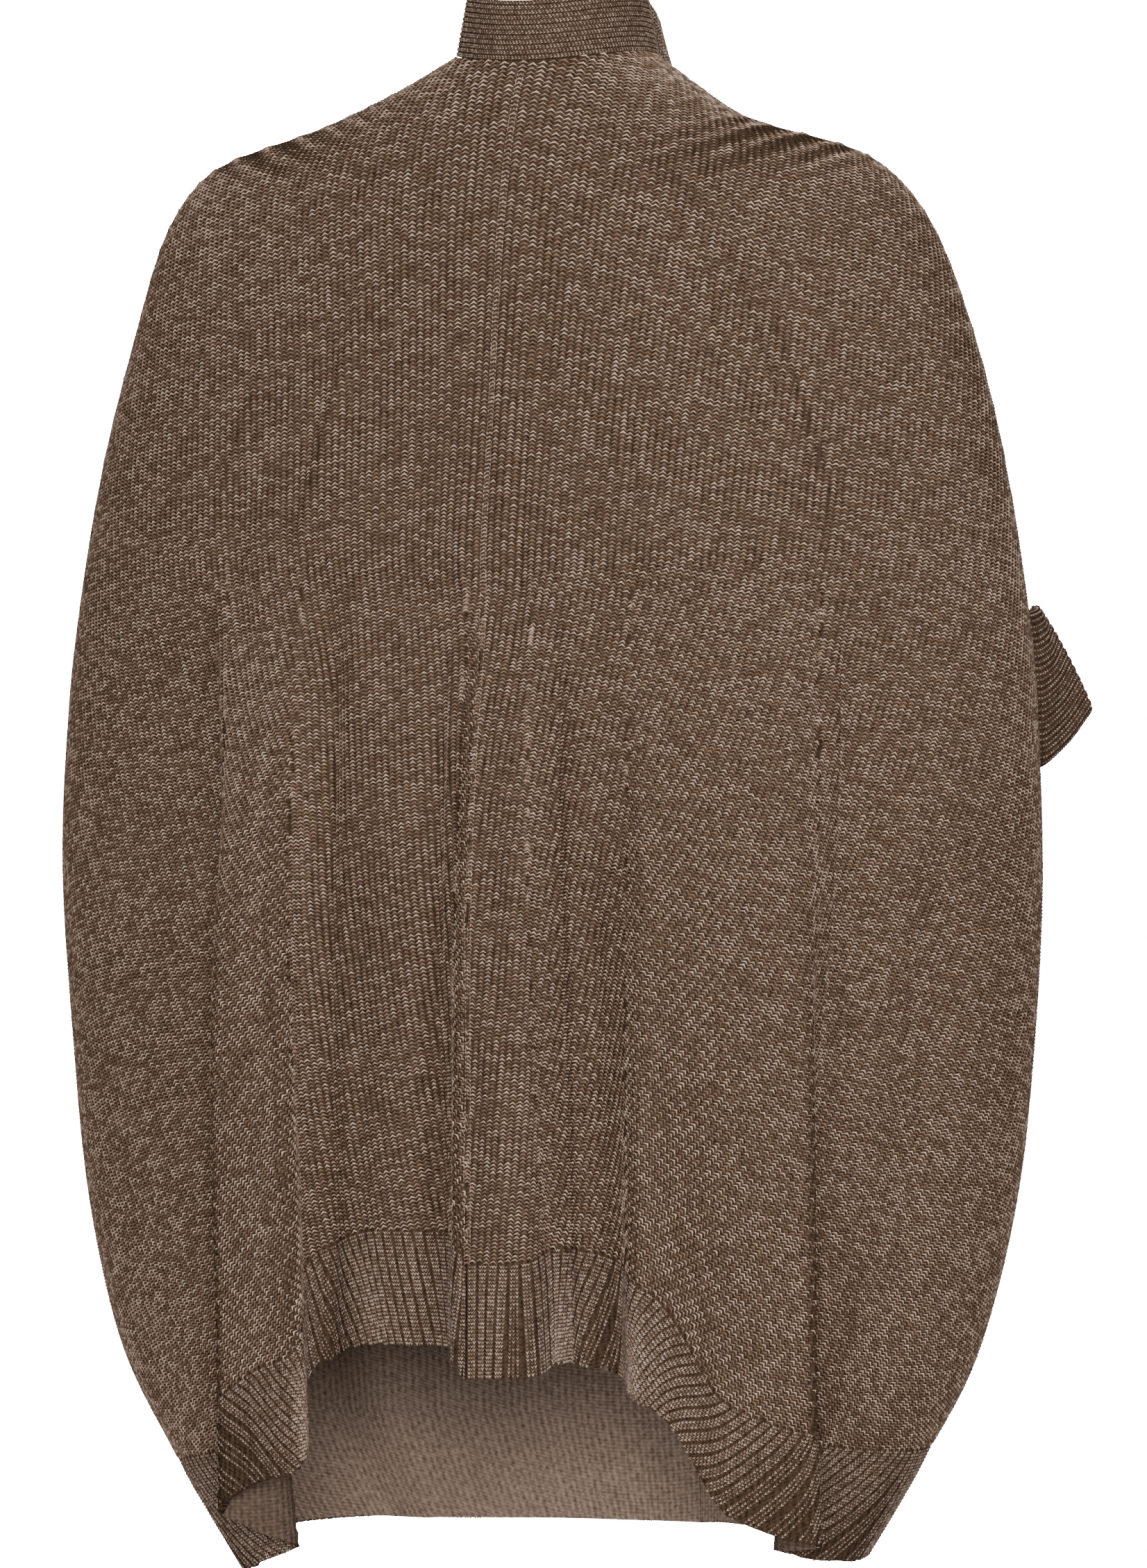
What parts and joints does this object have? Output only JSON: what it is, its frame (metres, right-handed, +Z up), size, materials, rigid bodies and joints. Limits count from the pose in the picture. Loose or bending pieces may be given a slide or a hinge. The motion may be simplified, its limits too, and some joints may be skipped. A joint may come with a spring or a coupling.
{
  "type": "open-front cardigan",
  "caption": "Knitted cape-like cardigan with an open front, wide armhole cuffs, a standing ribbed collar and a ribbed hem, shown filled out as worn.",
  "frame": {"origin": "middle of the neck at the height of the collar's seam, where the garment rests on its wearer", "axes": "+Z up, the front faces -Y, +X towards the wearer's left"},
  "size_m": [0.6214, 0.3338, 0.929],
  "materials": {
    "body_knit": "heathered pearl-rib knit, matt",
    "rib_knit": "heathered rib knit, matt"
  },
  "bodies": {
    "root": {"back_left": "body_knit", "back_right": "body_knit", "front_left": "body_knit", "front_right": "body_knit", "collar_band": "rib_knit", "cuff_left": "rib_knit", "cuff_right": "rib_knit"}
  },
  "joints": []
}
